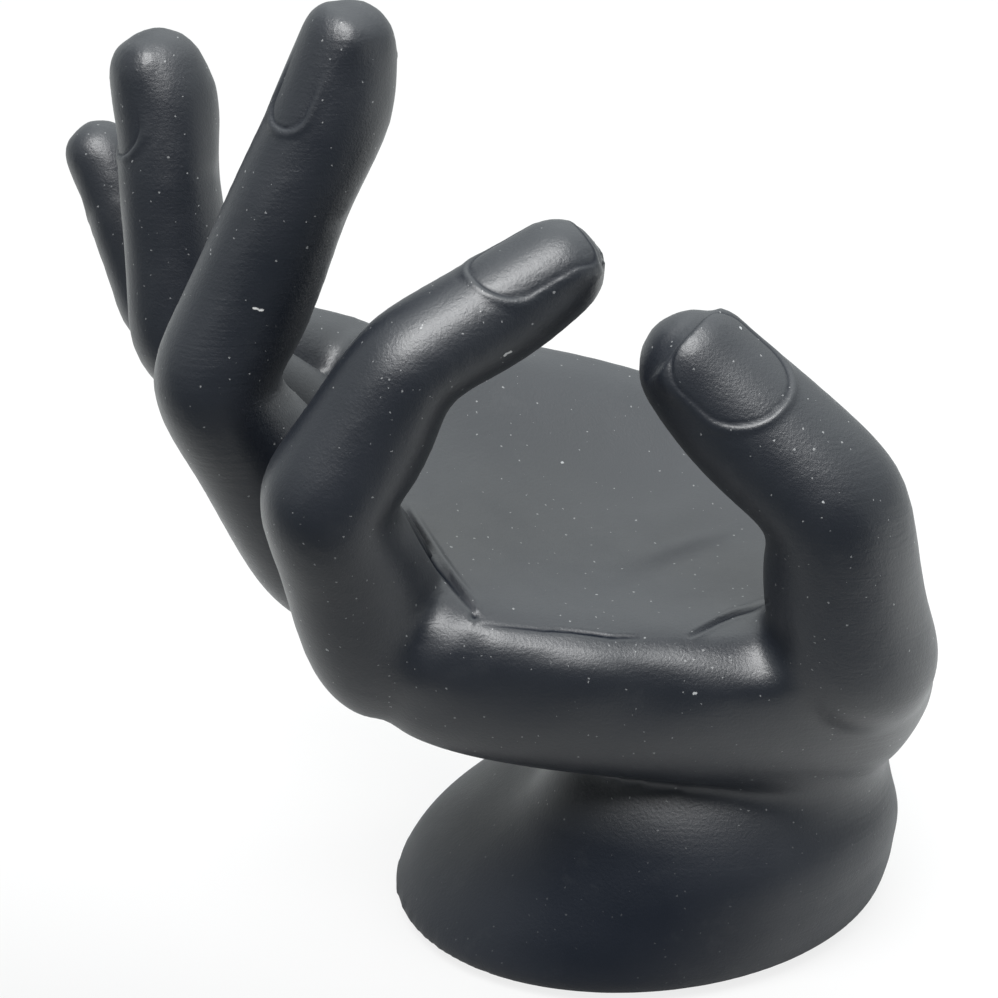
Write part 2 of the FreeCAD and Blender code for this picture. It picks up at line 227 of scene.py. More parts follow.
class Limb:
    """Joints of a finger, the axes of its bones and the outline of its nail."""

    def __init__(self, start, bones, side, widths, nail, corner=FREE_CORNER):
        self.joints = [Vector(start)]
        self.ways = []
        for length, heading, rise in bones:
            self.ways.append(direction(heading, rise))
            self.joints.append(self.joints[-1] + self.ways[-1] * length)
        self.side = direction(*side)
        self.widths = widths
        self.nail_length, self.nail_width, self.nail_margin, self.nail_turn = nail
        self.nail_corner = corner

    def axes(self, way):
        across = (self.side - way * self.side.dot(way)).normalized()
        return across, way.cross(across)

    def nail_axes(self):
        turn = Quaternion(self.ways[-1], math.radians(self.nail_turn))
        return [turn @ axis for axis in self.axes(self.ways[-1])]

    def nail_frame(self, places):
        """Distance back from the free edge, across, and height over the bone, for each place."""
        across, back = self.nail_axes()
        rel = places - np.array(self.joints[-1] - self.ways[-1] * self.nail_margin)
        return -rel @ np.array(self.ways[-1]), rel @ np.array(across), rel @ np.array(back)

    def nail_edge(self, reach, side):
        """Signed distance to the outline of the nail, negative on the plate."""
        half_length, half_width = self.nail_length / 2.0, self.nail_width / 2.0
        corner = np.where(reach > half_length, ROOT_CORNER * half_width, self.nail_corner * half_width)
        along = np.abs(reach - half_length) - (half_length - corner)
        wide = np.abs(side) - (half_width - corner)
        outside = np.hypot(np.maximum(along, 0.0), np.maximum(wide, 0.0))
        return np.minimum(np.maximum(along, wide), 0.0) + outside - corner

    def near_nail(self, reach, side, height):
        """Mask of the places about the nail, on the back of the finger."""
        within = np.abs(reach - self.nail_length / 2.0) < self.nail_length
        return within & (height > 0.0) & (np.hypot(side, height) < self.nail_width * NAIL_NEAR)


# Fingers with the nails of the CAD model, and with the nails that are drawn
limbs = {name: Limb(*facts) for name, facts in LIMBS.items()}
drawn = {name: Limb(*facts[:4], *NAILS[name][:2]) for name, facts in LIMBS.items()}


# Distance fields
def signed_field(node):
    """Signed distance in millimetres to a CAD node, on the grid."""
    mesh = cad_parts[node].data
    points = np.empty(len(mesh.vertices) * 3, np.float32)
    mesh.vertices.foreach_get("co", points)
    mesh.calc_loop_triangles()
    corners = np.empty(len(mesh.loop_triangles) * 3, np.int32)
    mesh.loop_triangles.foreach_get("vertices", corners)
    points = (points.reshape(-1, 3) / MM - LOW) / VOXEL
    level = openvdb.FloatGrid.createLevelSetFromPolygons(
        points=points.astype(np.float32), triangles=corners.reshape(-1, 3).astype(np.uint32),
        transform=openvdb.createLinearTransform(voxelSize=1.0), halfWidth=BAND)
    field = np.empty(COUNT, np.float32)
    level.copyToArray(field, ijk=(0, 0, 0))
    return field * VOXEL


def blurred(field, sigma):
    """Field smoothed by a Gaussian of sigma millimetres."""
    reach = int(math.ceil(BLUR_REACH * sigma / VOXEL))
    steps = np.arange(-reach, reach + 1) * VOXEL
    weights = np.exp(-0.5 * (steps / sigma) ** 2)
    weights = (weights / weights.sum()).astype(np.float32)
    for axis in range(3):
        margin = [(reach, reach) if a == axis else (0, 0) for a in range(3)]
        padded = np.pad(field, margin, mode="edge")
        size = field.shape[axis]
        total = np.zeros_like(field)
        for k, weight in enumerate(weights):
            part = [slice(None)] * 3
            part[axis] = slice(k, k + size)
            total += weight * padded[tuple(part)]
        field = total
    return field


def joined(first, second, fillet, rounds):
    """Union of two fields with the hollow between them filled. Ridges stay as they are."""
    union = np.minimum(first, second)
    for _ in range(rounds):
        union = np.minimum(union, blurred(union, fillet))
    return union


def ramp(values, low, high):
    """Smooth step from 0 at low to 1 at high."""
    t = np.clip((values - low) / (high - low), 0.0, 1.0)
    return t * t * (3.0 - 2.0 * t)


def blend(first, second, share):
    return first * (1.0 - share) + second * share


def sampled(field, places):
    """Value and slope of a field at places in millimetres, from the eight grid points around."""
    last_cell = np.array(field.shape) - 1.001
    spot = np.clip((places - LOW) / VOXEL, 0.0, last_cell)
    cell = spot.astype(int)
    i, j, k = cell.T
    u, v, w = (spot - cell).T
    c = [[[field[i + a, j + b, k + d] for d in (0, 1)] for b in (0, 1)] for a in (0, 1)]
    x0 = [[blend(c[0][b][d], c[1][b][d], u) for d in (0, 1)] for b in (0, 1)]
    y0 = [blend(x0[0][d], x0[1][d], v) for d in (0, 1)]
    dx = [[c[1][b][d] - c[0][b][d] for d in (0, 1)] for b in (0, 1)]
    slope_x = blend(blend(dx[0][0], dx[1][0], v), blend(dx[0][1], dx[1][1], v), w)
    slope_y = blend(x0[1][0] - x0[0][0], x0[1][1] - x0[0][1], w)
    return blend(*y0, w), np.stack([slope_x, slope_y, y0[1] - y0[0]], axis=1) / VOXEL


def onto(field, places, rounds=2, least_slope=0.5):
    """Places moved onto the zero surface of a field."""
    for _ in range(rounds):
        value, slope = sampled(field, places)
        size = np.maximum((slope ** 2).sum(axis=1, keepdims=True), least_slope ** 2)
        places = places - np.clip(value[:, None] / size, -VOXEL, VOXEL) * slope
    return places


grid_axes = [LOW[a] + VOXEL * np.arange(COUNT[a]) for a in range(3)]
grid_x, grid_y, grid_z = np.meshgrid(*grid_axes, indexing="ij", sparse=True)
grid_places = np.stack(np.meshgrid(*grid_axes, indexing="ij"), axis=-1).astype(np.float32)


def filled_nail(field, limb):
    """Field with the seat of the nail filled up to the level of the flesh."""
    places = grid_places.reshape(-1, 3)
    reach, side, height = limb.nail_frame(places)
    way = np.array(limb.ways[-1])
    back = np.array(limb.axes(limb.ways[-1])[1])
    bone = (limb.joints[-1] - limb.joints[-2]).length
    rel = places - np.array(limb.joints[-2])
    along = np.clip(rel @ way, 0.0, bone - limb.widths[-1] / 2.0)
    width = limb.widths[-2] + (limb.widths[-1] - limb.widths[-2]) * along / bone
    rel = rel - along[:, None] * way + (FLESH_DROP * width)[:, None] * back
    rounded = np.linalg.norm(rel, axis=1) - FLESH_RADIUS * width
    plate = np.maximum(rounded, limb.nail_edge(reach, side) - SEAT_REACH)
    return np.minimum(field, np.maximum(plate, -height).reshape(field.shape).astype(np.float32))


def swollen(field, swellings):
    """Field with soft bumps added."""
    for centre, spread, height in swellings:
        away = (grid_x - centre[0]) ** 2 + (grid_y - centre[1]) ** 2 + (grid_z - centre[2]) ** 2
        field = field - height * np.exp(-away / (2.0 * spread ** 2)).astype(np.float32)
    return field


def casting_field():
    """One field for the palm, the wrist, the base and the fingers."""
    palm = signed_field("palm")
    wrist = swollen(signed_field("wrist_base"), BASE_SWELLINGS)
    flesh = {}
    for name, limb in limbs.items():
        flesh[name] = filled_nail(signed_field(name if name == "thumb" else name + "_finger"), limb)
    body = blend(joined(palm, wrist, *WRIST_FILLET), joined(palm, wrist, *NECK_FILLET),
                 ramp(grid_x, *NECK_X))
    low_share = 1.0 - ramp(grid_z, *PALM_RIM_Z)
    for name, (crisp, wide) in ROOT_FILLETS.items():
        root = blend(joined(palm, flesh[name], *crisp), joined(palm, flesh[name], *wide), low_share)
        body = np.minimum(body, root)
    heel_share = ramp(grid_x, *HEEL_X) * low_share * ramp(grid_z, *HEEL_Z)
    body = blend(body, joined(body, wrist, *HEEL_FILLET), heel_share)
    for name in ("middle", "ring", "little"):
        body = np.minimum(body, joined(palm, flesh[name], *FINGER_FILLET))
    for first, second in (("index", "middle"), ("middle", "ring"), ("ring", "little")):
        body = np.minimum(body, joined(flesh[first], flesh[second], *WEB_FILLET))
    return swollen(body, EDGE_SWELLINGS + TIP_SWELLINGS + THUMB_SWELLINGS)


def skin_of(body):
    """Field with the steps of the grid blurred away and the lower edge of the base rounded."""
    soft = blurred(body, SKIN_BLUR)
    skin = 2.0 * soft - blurred(soft, SKIN_BLUR)
    skin = blend(skin, blurred(body, RIM_BLUR) - RIM_SHRINK, 1.0 - ramp(grid_z, *RIM_Z))
    return blend(skin, blurred(body, SEAT_BLUR) - SEAT_SHRINK, 1.0 - ramp(grid_z, *SEAT_Z))


# Meshes
def mesh_object(name, places, faces):
    mesh = bpy.data.meshes.new(name)
    mesh.from_pydata((places * MM).tolist(), [], faces)
    mesh.validate()
    thing = bpy.data.objects.new(name, mesh)
    bpy.context.scene.collection.objects.link(thing)
    return thing


def vertex_values(thing, key):
    flat = np.empty(len(thing.data.vertices) * 3)
    thing.data.vertices.foreach_get(key, flat)
    return flat.reshape(-1, 3)


def places_of(thing):
    return vertex_values(thing, "co") / MM


def put_places(thing, places):
    thing.data.vertices.foreach_set("co", (places * MM).ravel())
    thing.data.update()


skin_field = skin_of(casting_field())
level = openvdb.FloatGrid(BAND)
level.copyFromArray(skin_field.astype(np.float32))
grid_points, grid_quads = level.convertToQuads(isovalue=0.0)
skin_places = onto(skin_field, np.asarray(grid_points, float) * VOXEL + LOW)
skin_faces = np.asarray(grid_quads).tolist()
skin_tree = BVHTree.FromPolygons([Vector(p) for p in skin_places], skin_faces)
hand = mesh_object("hand", skin_places, skin_faces)


# Lines are drawn on the skin from where the photograph shows them, or about a joint
def seen(x, y):
    """Place on the skin at a pixel of the photograph, or nothing."""
    ahead = (VIEW_RIGHT * ((x - PHOTO_MIDDLE) / FOCAL_PIXELS)
             - VIEW_UP * ((y - PHOTO_MIDDLE) / FOCAL_PIXELS) + VIEW_AHEAD)
    return skin_tree.ray_cast(EYE, ahead.normalized())[0]


def photo_place(places):
    """Pixels of the photograph where places are seen, and their depth."""
    rel = places - np.array(EYE)
    depth = rel @ np.array(VIEW_AHEAD)
    right = PHOTO_MIDDLE + FOCAL_PIXELS * (rel @ np.array(VIEW_RIGHT)) / depth
    down = PHOTO_MIDDLE - FOCAL_PIXELS * (rel @ np.array(VIEW_UP)) / depth
    return np.stack([right, down], axis=1), depth


def joint_line(limb, joint):
    """Places round the palm side of a finger joint."""
    way = (limb.ways[joint] + limb.ways[joint - 1]).normalized()
    across, back = limb.axes(way)
    middle = limb.joints[joint]
    line = []
    for angle in np.radians(np.linspace(-JOINT_FOLD_ANGLE, JOINT_FOLD_ANGLE, JOINT_FOLD_STOPS)):
        out = across * math.sin(angle) - back * math.cos(angle)
        hit = skin_tree.ray_cast(middle + out * limb.widths[joint] * JOINT_FOLD_START, out)[0]
        if hit and (hit - middle).length < limb.widths[joint]:
            line.append(hit)
    return line


def line_distance(places, line):
    """Distance to a run of straight pieces, and its fade towards both ends."""
    best = np.full(len(places), np.inf)
    fade = np.zeros(len(places))
    stops = [0.0]
    for a, b in zip(line[:-1], line[1:]):
        stops.append(stops[-1] + (b - a).length)
    for n, (a, b) in enumerate(zip(line[:-1], line[1:])):
        start, run = np.array(a), np.array(b - a)
        t = np.clip(((places - start) @ run) / (run @ run), 0.0, 1.0)
        away = np.linalg.norm(places - start - t[:, None] * run, axis=1)
        share = blend(stops[n], stops[n + 1], t) / stops[-1]
        wave = np.sin(math.pi * blend(FADE_START, 1.0 - FADE_START, share))
        closer = away < best
        best = np.where(closer, away, best)
        fade = np.where(closer, wave ** FADE_POWER, fade)
    return best, fade


def seen_distance(places, pixels):
    """Distance in the picture to a line of pixels, in millimetres, and its fade to the ends."""
    spots, depth = photo_place(places)
    flat = np.concatenate([spots, np.zeros((len(spots), 1))], axis=1)
    away, fade = line_distance(flat, [Vector((x, y, 0.0)) for x, y in pixels])
    away = away * depth / FOCAL_PIXELS
    front = [hit for hit in (seen(x, y) for x, y in pixels) if hit]
    reach = photo_place(np.array(front))[1]
    near = (depth > reach.min() - CREASE_BEFORE) & (depth < reach.max() + CREASE_BEHIND)
    return np.where(near, away, np.inf), fade


def feature_distance(places):
    """Distance to the nearest thin crease, chip or nail border."""
    best = np.full(len(places), np.inf)
    thin = [pixels for pixels, depth, width, lip in PHOTO_CREASES.values() if width < THIN_CREASE]
    for pixels in (*FLECKS, *thin):
        best = np.minimum(best, seen_distance(places, pixels)[0])
    for limb in drawn.values():
        reach, side, height = limb.nail_frame(places)
        inside = limb.near_nail(reach, side, height)
        edge = np.abs(limb.nail_edge(reach[inside], side[inside]))
        best[inside] = np.minimum(best[inside], edge)
    return best


def refine(thing, within):
    """Halves the faces that lie near a crease or a nail border."""
    bm = bmesh.new()
    bm.from_mesh(thing.data)
    bm.faces.index_update()
    centres = np.array([face.calc_center_median()[:] for face in bm.faces]) / MM
    close = feature_distance(centres) < within
    edges = [edge for edge in bm.edges if any(close[face.index] for face in edge.link_faces)]
    bmesh.ops.subdivide_edges(bm, edges=edges, cuts=1, use_grid_fill=True)
    bm.to_mesh(thing.data)
    bm.free()
    put_places(thing, onto(skin_field, places_of(thing)))


def smoothed(thing):
    """Places with the ripple of the grid taken out and the shape kept."""
    places = places_of(thing)
    ends = np.empty(len(thing.data.edges) * 2, np.int64)
    thing.data.edges.foreach_get("vertices", ends)
    first = np.concatenate([ends[0::2], ends[1::2]])
    second = np.concatenate([ends[1::2], ends[0::2]])
    count = np.maximum(np.bincount(first, minlength=len(places)), 1)[:, None]
    for step in SMOOTH_STEPS * SMOOTH_ROUNDS:
        sums = [np.bincount(first, places[second, a], len(places)) for a in range(3)]
        places = places + step * (np.stack(sums, axis=1) / count - places)
    return places


def crease_marks(places):
    """For each crease: distance and fade at the places, depth, half width and lip."""
    for (name, joint), depth in JOINT_FOLDS.items():
        yield *line_distance(places, joint_line(limbs[name], joint)), depth, JOINT_FOLD_WIDTH, 0.0
    for pixels, depth, width, lip in PHOTO_CREASES.values():
        yield *seen_distance(places, pixels), depth, width, lip


def crease_shape(places, facing):
    """How far creases push the skin out, and how dull they are, where the skin faces the camera."""
    push = np.zeros(len(places))
    hollow = np.zeros(len(places))
    for away, fade, depth, width, lip in crease_marks(places):
        away = np.where(facing, away, np.inf)
        push -= depth * fade * np.exp(-(away / width) ** 2)
        push += lip * fade * np.exp(-((away - LIP_AWAY * width) / (LIP_SPREAD * width)) ** 2)
        if width < DULL_CREASE and depth > 0.0:
            hollow = np.maximum(hollow, fade * np.exp(-(away / (DULL_SPREAD * width)) ** 2))
    return push, hollow


def nail_shape(limb, free_lift, shown_share, reach, side):
    """How far a nail and the skin about it stand out, and how dull the groove is."""
    edge = limb.nail_edge(reach, side)
    from_root = (limb.nail_length - reach) / limb.nail_length
    shown = 1.0 - ramp(from_root - shown_share, *SHOWN_FADE)
    free = ramp(-reach, *FREE_RANGE)
    root = ramp(reach, limb.nail_length / 2.0, limb.nail_length)
    fold = (FOLD_RISE[0] + FOLD_RISE[1] * root) * np.exp(-((edge - FOLD_AWAY) / FOLD_SPREAD) ** 2)
    fold *= 1.0 - free
    plate = -PLATE_DROP * ramp(-edge, *PLATE_RANGE)
    groove = -(GROOVE_DEPTH[0] + GROOVE_DEPTH[1] * root) * np.exp(-(edge / GROOVE_SPREAD) ** 2)
    groove *= 1.0 - GROOVE_LOSS_WHERE_FREE * free
    brow = -BROW_DROP * free * ramp(edge, *BROW_START) * (1.0 - ramp(edge, *BROW_END))
    lift = free_lift * ramp(-edge, *LIFT_RIM) * ramp(from_root, *LIFT_ALONG) ** LIFT_POWER
    lift *= blend(1.0, LIFT_AT_SIDES, ramp(np.abs(side) / limb.nail_width, *LIFT_ACROSS))
    dull = GROOVE_DULL * shown * np.exp(-(edge / GROOVE_DULL_SPREAD) ** 2)
    return shown * (fold + plate + groove + brow + lift), dull


def shape_skin(thing):
    """Gives the skin its creases and nails, and marks what is dull and where it is chipped."""
    places = places_of(thing)
    normals = vertex_values(thing, "normal")
    facing = np.einsum("ij,ij->i", normals, np.array(EYE) - places) > 0.0
    push, hollow = crease_shape(places, facing)
    for name, limb in drawn.items():
        reach, side, height = limb.nail_frame(places)
        inside = limb.near_nail(reach, side, height)
        out, dull = nail_shape(limb, *NAILS[name][2:], reach[inside], side[inside])
        push[inside] += out
        hollow[inside] = np.maximum(hollow[inside], dull)
    shaped = places + normals * push[:, None]
    shaped[:, 2] = np.maximum(shaped[:, 2], PAD_TOP)
    put_places(thing, shaped)
    chips = [np.exp(-(seen_distance(places, pixels)[0] / FLECK_WIDTH) ** 4) for pixels in FLECKS]
    for name, values in (("hollow", hollow), ("fleck", np.max(chips, axis=0))):
        attribute = thing.data.attributes.new(name, "FLOAT", "POINT")
        attribute.data.foreach_set("value", values.astype(np.float32))


for within in REFINE_REACHES:
    refine(hand, within)
put_places(hand, smoothed(hand))
shape_skin(hand)
for polygon in hand.data.polygons:
    polygon.use_smooth = True
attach(hand, "root")
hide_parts("wrist_base", "palm", "thumb", "index_finger", "middle_finger", "ring_finger",
            "little_finger")


# Materials
class Nodes:
    """Short way to make and link shader nodes."""

    def __init__(self, tree):
        self.tree = tree

    def node(self, kind, links, **settings):
        node = self.tree.nodes.new(kind)
        for key, value in settings.items():
            setattr(node, key, value)
        for socket, source in links.items():
            if hasattr(source, "links"):
                self.tree.links.new(source, node.inputs[socket])
            else:
                node.inputs[socket].default_value = source
        return node

    def spread(self, value, low, high, to_low=0.0, to_high=1.0, **settings):
        links = {"Value": value, "From Min": low, "From Max": high, "To Min": to_low, "To Max": to_high}
        return self.node("ShaderNodeMapRange", links, **settings).outputs["Result"]

    def math(self, operation, a, b):
        return self.node("ShaderNodeMath", {0: a, 1: b}, operation=operation).outputs[0]


class Graph(Nodes):
    """Nodes of a new material."""

    def __init__(self, name):
        self.material = bpy.data.materials.new(name)
        self.material.use_nodes = True
        super().__init__(self.material.node_tree)
        self.shader = self.tree.nodes["Principled BSDF"]
        self.place = self.tree.nodes.new("ShaderNodeTexCoord").outputs["Object"]

    def stretched(self, scale, turn):
        links = {"Vector": self.place, "Scale": scale, "Rotation": turn}
        return self.node("ShaderNodeMapping", links).outputs[0]

    def noise(self, scale, detail=2.0, rough=0.5, place=None):
        links = {"Vector": place or self.place, "Scale": scale, "Detail": detail, "Roughness": rough}
        return self.node("ShaderNodeTexNoise", links).outputs["Fac"]

    def attribute(self, name):
        return self.node("ShaderNodeAttribute", {}, attribute_name=name).outputs["Fac"]

    def mix(self, share, a, b):
        return self.node("ShaderNodeMix", {"Factor": share, 6: a, 7: b}, data_type="RGBA").outputs[2]

    def bump(self, height, distance, strength, normal=None):
        links = {"Height": height, "Distance": distance, "Strength": strength}
        if normal:
            links["Normal"] = normal
        return self.node("ShaderNodeBump", links).outputs[0]

    def give(self, socket, source):
        self.tree.links.new(source, self.shader.inputs[socket])


# Resin: colours, and shares in which they are laid on
RESIN_DARK = (0.0048, 0.0074, 0.0132, 1.0)
RESIN_PALER = (0.008, 0.0108, 0.0175, 1.0)
RESIN_RUBBED = (0.035, 0.038, 0.043, 1.0)
DUST_COLOUR = (0.2, 0.205, 0.21, 1.0)
DOT_COLOUR = (0.36, 0.37, 0.38, 1.0)
CHIP_COLOUR = (0.62, 0.62, 0.61, 1.0)
RUBBED_SHARE = 0.3
LOW_DUST_LOSS = 0.8
# Roughness of the satin, and what the base, creases and dots add
SATIN = (0.39, 0.47)
LOW_ROUGHER, CREASE_ROUGHER, DOTS_ROUGHER = 0.1, 0.4, 0.3
# Gloss, what the base and the smudge on it take away, and the share left in creases
GLOSS = 0.9
LOW_DULLER, SMUDGE_DULLER, CREASE_GLOSS = 0.34, 0.36, 0.06
# Places in metres: where the base gets dull, the smudge on its front, the brushed heel
DULL_BASE_Z = (0.031, 0.022)
SMUDGE_MIDDLE = (-0.006, -0.034, 0.014)
SMUDGE_REACH = (0.026, 0.008)
BRUSHED_HEEL_X = (0.018, 0.034)
HEEL_BRUSHING = 1.2
BRUSH_SCALE = (90.0, 90.0, 1500.0)
BRUSH_TURN = (0.25, 0.0, 0.0)
# Specks: cells to the metre, share of the cells without one, and radius
FINE_DUST = (800.0, 0.1, 0.00016)
DOTS = (190.0, 0.3, 0.0003)
SPECK_SHIFT = 0.00035
# Heights of the bumps in metres
SWELL_HEIGHT, BRUSH_HEIGHT, GRAIN_HEIGHT = 0.0001, 0.00008, 0.0001


def stirred_place(resin):
    """Places shifted a little at random, which gives specks a ragged outline."""
    ripple = resin.node("ShaderNodeTexNoise", {"Vector": resin.place, "Scale": 3500.0, "Detail": 1.0})
    small = resin.node("ShaderNodeVectorMath", {0: ripple.outputs["Color"], "Scale": SPECK_SHIFT},
                       operation="SCALE")
    links = {0: resin.place, 1: small.outputs[0]}
    return resin.node("ShaderNodeVectorMath", links, operation="ADD").outputs[0]


def specks(resin, place, scale, empty, radius):
    """Mask of small specks, one in some of the cells."""
    cells = resin.node("ShaderNodeTexVoronoi", {"Vector": place, "Scale": scale, "Randomness": 1.0})
    chance = resin.node("ShaderNodeSeparateColor", {"Color": cells.outputs["Color"]}).outputs["Red"]
    reach = resin.spread(chance, empty, 1.0, 0.0, radius * scale)
    return resin.math("LESS_THAN", cells.outputs["Distance"], reach)


def resin_colour(resin, fine_dust, dots):
    """Near-black with pale clouds, rubbed patches, dust and chips."""
    cloud = resin.noise(45.0, detail=3.0, rough=0.55)
    colour = resin.mix(resin.spread(cloud, 0.3, 0.7), RESIN_DARK, RESIN_PALER)
    rubbed = resin.spread(resin.noise(160.0, detail=5.0, rough=0.7), 0.58, 0.8)
    colour = resin.mix(resin.math("MULTIPLY", rubbed, RUBBED_SHARE), colour, RESIN_RUBBED)
    colour = resin.mix(fine_dust, colour, DUST_COLOUR)
    colour = resin.mix(dots, colour, DOT_COLOUR)
    return resin.mix(resin.spread(resin.attribute("fleck"), 0.3, 0.6), colour, CHIP_COLOUR)


def resin_roughness(resin, low_down, cavity, dots):
    """Satin, rougher low down, in creases and on the dots of dust."""
    rough = resin.spread(resin.noise(90.0, detail=4.0, rough=0.6), 0.3, 0.7, *SATIN)
    rough = resin.math("ADD", rough, resin.math("MULTIPLY", low_down, LOW_ROUGHER))
    rough = resin.math("ADD", rough, resin.math("MULTIPLY", cavity, CREASE_ROUGHER))
    return resin.math("ADD", rough, resin.math("MULTIPLY", dots, DOTS_ROUGHER))


def resin_gloss(resin, low_down, cavity):
    """Full gloss, less low down, on the smudge in front of the base, and in creases."""
    away = resin.node("ShaderNodeVectorMath", {0: resin.place, 1: SMUDGE_MIDDLE}, operation="DISTANCE")
    smudge = resin.math("MULTIPLY", resin.spread(away.outputs["Value"], *SMUDGE_REACH), low_down)
    gloss = resin.math("SUBTRACT", GLOSS, resin.math("MULTIPLY", low_down, LOW_DULLER))
    gloss = resin.math("SUBTRACT", gloss, resin.math("MULTIPLY", smudge, SMUDGE_DULLER))
    return resin.math("MULTIPLY", gloss, resin.spread(cavity, 0.0, 1.0, 1.0, CREASE_GLOSS))


def resin_relief(resin, along_x):
    """Soft swell, brush marks in patches and on the heel, and a fine grain."""
    stretched = resin.stretched(BRUSH_SCALE, BRUSH_TURN)
    brush = resin.noise(1.0, detail=3.0, rough=0.6, place=stretched)
    patches = resin.spread(resin.noise(28.0, detail=1.0), 0.45, 0.7)
    patches = resin.math("ADD", patches, resin.spread(along_x, *BRUSHED_HEEL_X, 0.0, HEEL_BRUSHING))
    relief = resin.bump(resin.noise(230.0), SWELL_HEIGHT, 0.5)
    relief = resin.bump(resin.math("MULTIPLY", brush, patches), BRUSH_HEIGHT, 0.6, relief)
    return resin.bump(resin.noise(2300.0, detail=3.0, rough=0.65), GRAIN_HEIGHT, 0.55, relief)


def resin_material():
    resin = Graph("resin")
    spot = resin.node("ShaderNodeSeparateXYZ", {"Vector": resin.place})
    low_down = resin.spread(spot.outputs["Z"], *DULL_BASE_Z)
    cavity = resin.attribute("hollow")
    dusty = resin.math("SUBTRACT", 1.0, resin.math("MULTIPLY", low_down, LOW_DUST_LOSS))
    ragged = stirred_place(resin)
    fine_dust = resin.math("MULTIPLY", specks(resin, ragged, *FINE_DUST), dusty)
    dots = resin.math("MULTIPLY", specks(resin, ragged, *DOTS), dusty)
    resin.give("Base Color", resin_colour(resin, fine_dust, dots))
    resin.give("Roughness", resin_roughness(resin, low_down, cavity, dots))
    resin.give("Specular IOR Level", resin_gloss(resin, low_down, cavity))
    resin.give("Normal", resin_relief(resin, spot.outputs["X"]))
    return resin.material


hand.data.materials.append(resin_material())

# Rubber pad: rings from its resting face over the rounded rim to its top, each as a share of the
# outline's radius and of the thickness
PAD_STEPS = 96
PAD_RINGS = ((0.5, 0.0), (0.93, 0.0), (0.988, 0.03), (0.998, 0.18), (1.0, 0.5), (0.998, 0.82),
             (0.988, 0.97), (0.93, 1.0), (0.5, 1.0))
RUBBER_DARK = (0.022, 0.022, 0.023, 1.0)
RUBBER_PALER = (0.036, 0.036, 0.037, 1.0)
RUBBER_ROUGHNESS = (0.72, 0.86)
RUBBER_GRAIN_HEIGHT = 0.00004


def pad_outline():
    """Angles about the Z axis and the radius of the CAD node's outline at each."""
    corners = np.array([vertex.co[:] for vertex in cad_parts["underside_pad"].data.vertices]) / MM
    corners = corners[corners[:, 2] < PAD_TOP / 2.0]
    angles = np.linspace(-math.pi, math.pi, PAD_STEPS, endpoint=False)
    radii = np.interp(angles, np.arctan2(corners[:, 1], corners[:, 0]),
                      np.hypot(corners[:, 0], corners[:, 1]), period=2.0 * math.pi)
    return angles, radii


def pad_object():
    """Oval disc with rounded rims."""
    angles, radii = pad_outline()
    rim = np.stack([radii * np.cos(angles), radii * np.sin(angles)], axis=1)
    rings = [np.column_stack([rim * share, np.full(PAD_STEPS, height * PAD_TOP)])
             for share, height in PAD_RINGS]
    last = (len(PAD_RINGS) - 1) * PAD_STEPS
    faces = [tuple(range(PAD_STEPS))[::-1], tuple(range(last, last + PAD_STEPS))]
    for start in range(0, last, PAD_STEPS):
        for k in range(PAD_STEPS):
            a, b = start + k, start + (k + 1) % PAD_STEPS
            faces.append((a, b, b + PAD_STEPS, a + PAD_STEPS))
    thing = mesh_object("pad", np.concatenate(rings), faces)
    for polygon in thing.data.polygons:
        polygon.use_smooth = len(polygon.vertices) == 4
    return thing


def rubber_material():
    rubber = Graph("rubber")
    rubber.give("Base Color", rubber.mix(rubber.noise(300.0, detail=3.0), RUBBER_DARK, RUBBER_PALER))
    rubber.give("Roughness", rubber.spread(rubber.noise(600.0), 0.3, 0.7, *RUBBER_ROUGHNESS))
    rubber.give("Normal", rubber.bump(rubber.noise(2200.0), RUBBER_GRAIN_HEIGHT, 0.8))
    return rubber.material


pad = pad_object()
pad.data.materials.append(rubber_material())
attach(pad, "root")
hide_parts("underside_pad")

# Floor: white paper, in metres, darkened in front by painted shade. It reflects little there, so that the
# underside of the hand stays dark, and the camera sees most of it as an even glow. The painted shade
# changes along Y, slanted with X.
FLOOR_HALF = 3.0
PAPER_WHITE = (0.8, 0.8, 0.8, 1.0)
PAPER_PAINTED_SHADE = (0.06, 0.065, 0.07, 1.0)
PAPER_GLOW = 1.02
PAPER_SHARE = 0.8
PAPER_SLANT = 0.4
PAINTED_SHADE_RANGE = (-0.118, 0.01)


def floor_material():
    ground = Graph("floor")
    spot = ground.node("ShaderNodeSeparateXYZ", {"Vector": ground.place})
    # Painted shade: the paper's colour goes dark towards the camera's side, in front of the hand
    slant = ground.math("ADD", spot.outputs["Y"], ground.math("MULTIPLY", spot.outputs["X"], PAPER_SLANT))
    ground.give("Base Color", ground.mix(ground.spread(slant, *PAINTED_SHADE_RANGE), PAPER_PAINTED_SHADE, PAPER_WHITE))
    ground.shader.inputs["Roughness"].default_value = 0.9
    ground.shader.inputs["Specular IOR Level"].default_value = 0.1
    paper = ground.node("ShaderNodeEmission", {"Color": (1.0, 1.0, 1.0, 1.0), "Strength": PAPER_GLOW})
    seen_first = ground.node("ShaderNodeLightPath", {}).outputs["Is Camera Ray"]
    share = ground.math("MULTIPLY", seen_first, PAPER_SHARE)
    layers = {0: share, 1: ground.shader.outputs[0], 2: paper.outputs[0]}
    mixed = ground.node("ShaderNodeMixShader", layers)
    ground.tree.links.new(mixed.outputs[0], ground.tree.nodes["Material Output"].inputs["Surface"])
    return ground.material


floor_corners = [(x * FLOOR_HALF, y * FLOOR_HALF, 0.0) for x, y in ((-1, -1), (1, -1), (1, 1), (-1, 1))]
floor_mesh = bpy.data.meshes.new("floor")
floor_mesh.from_pydata(floor_corners, [], [(0, 1, 2, 3)])
floor_mesh.materials.append(floor_material())
floor = bpy.data.objects.new("floor", floor_mesh)
bpy.context.scene.collection.objects.link(floor)

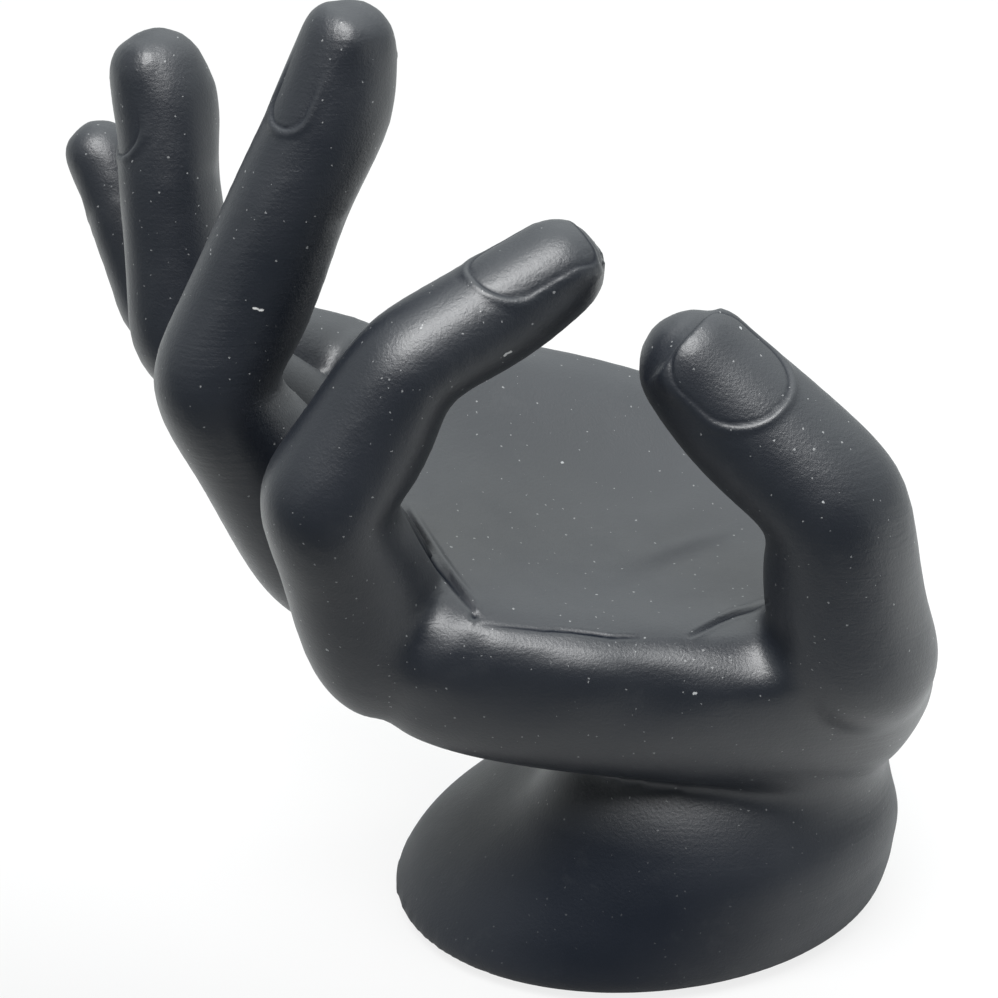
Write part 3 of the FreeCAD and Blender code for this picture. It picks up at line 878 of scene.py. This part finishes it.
# White room, dark on the camera's side and brightest overhead behind the hand. Each part of it has
# a direction, the cosines between which it changes, and its strength at both.
ROOM_COLOUR = (0.945, 0.99, 0.985, 1.0)
CAMERA_SIDE = ((0.0, -1.0, -0.05), (0.62, 0.92), (0.5, 0.01))
BRIGHT_SIDES = (
    ((0.0, 1.0, 0.0), (0.0, 0.8), (0.0, 0.35)),
    ((0.2, 0.2, 0.96), (0.5, 0.95), (0.0, 1.1)),
)


def room_side(sky, way_in, axis, cosines, strengths):
    """Strength of the room's light that changes with the angle to an axis."""
    facing = sky.node("ShaderNodeVectorMath", {0: way_in, 1: Vector(axis).normalized()},
                      operation="DOT_PRODUCT")
    return sky.spread(facing.outputs["Value"], *cosines, *strengths, interpolation_type="SMOOTHSTEP")


def light_room():
    world = bpy.data.worlds.new("world")
    bpy.context.scene.world = world
    world.use_nodes = True
    sky = Nodes(world.node_tree)
    way_in = sky.node("ShaderNodeTexCoord", {}).outputs["Generated"]
    room = room_side(sky, way_in, *CAMERA_SIDE)
    for side in BRIGHT_SIDES:
        room = sky.math("ADD", room, room_side(sky, way_in, *side))
    seen_first = sky.node("ShaderNodeLightPath", {}).outputs["Is Camera Ray"]
    strength = sky.node("ShaderNodeMix", {0: seen_first, 2: room, 3: 1.0}).outputs[0]
    background = sky.tree.nodes["Background"]
    sky.tree.links.new(strength, background.inputs["Strength"])
    background.inputs["Color"].default_value = ROOM_COLOUR


def area_light(name, place, aim, size, power):
    data = bpy.data.lights.new(name, "AREA")
    data.shape = "DISK"
    data.size = size
    data.energy = power
    lamp = bpy.data.objects.new(name, data)
    lamp.location = place
    lamp.rotation_euler = (Vector(aim) - lamp.location).to_track_quat("-Z", "Y").to_euler()
    bpy.context.scene.collection.objects.link(lamp)


light_room()
area_light("key", place=(-0.1, -0.345, 0.626), aim=(-0.02, 0.0, 0.08), size=0.4, power=5.6)

# Camera
camera_data = bpy.data.cameras.new("camera")
camera_data.sensor_width = SENSOR_WIDTH
camera_data.lens = SENSOR_WIDTH * FOCAL_PIXELS / PHOTO_PIXELS
camera_data.clip_start = CLIP_START
camera = bpy.data.objects.new("camera", camera_data)
camera.location = EYE * MM
camera.rotation_euler = VIEW_AHEAD.to_track_quat("-Z", "Y").to_euler()
bpy.context.scene.collection.objects.link(camera)
bpy.context.scene.camera = camera
bpy.context.scene.view_settings.view_transform = "Standard"
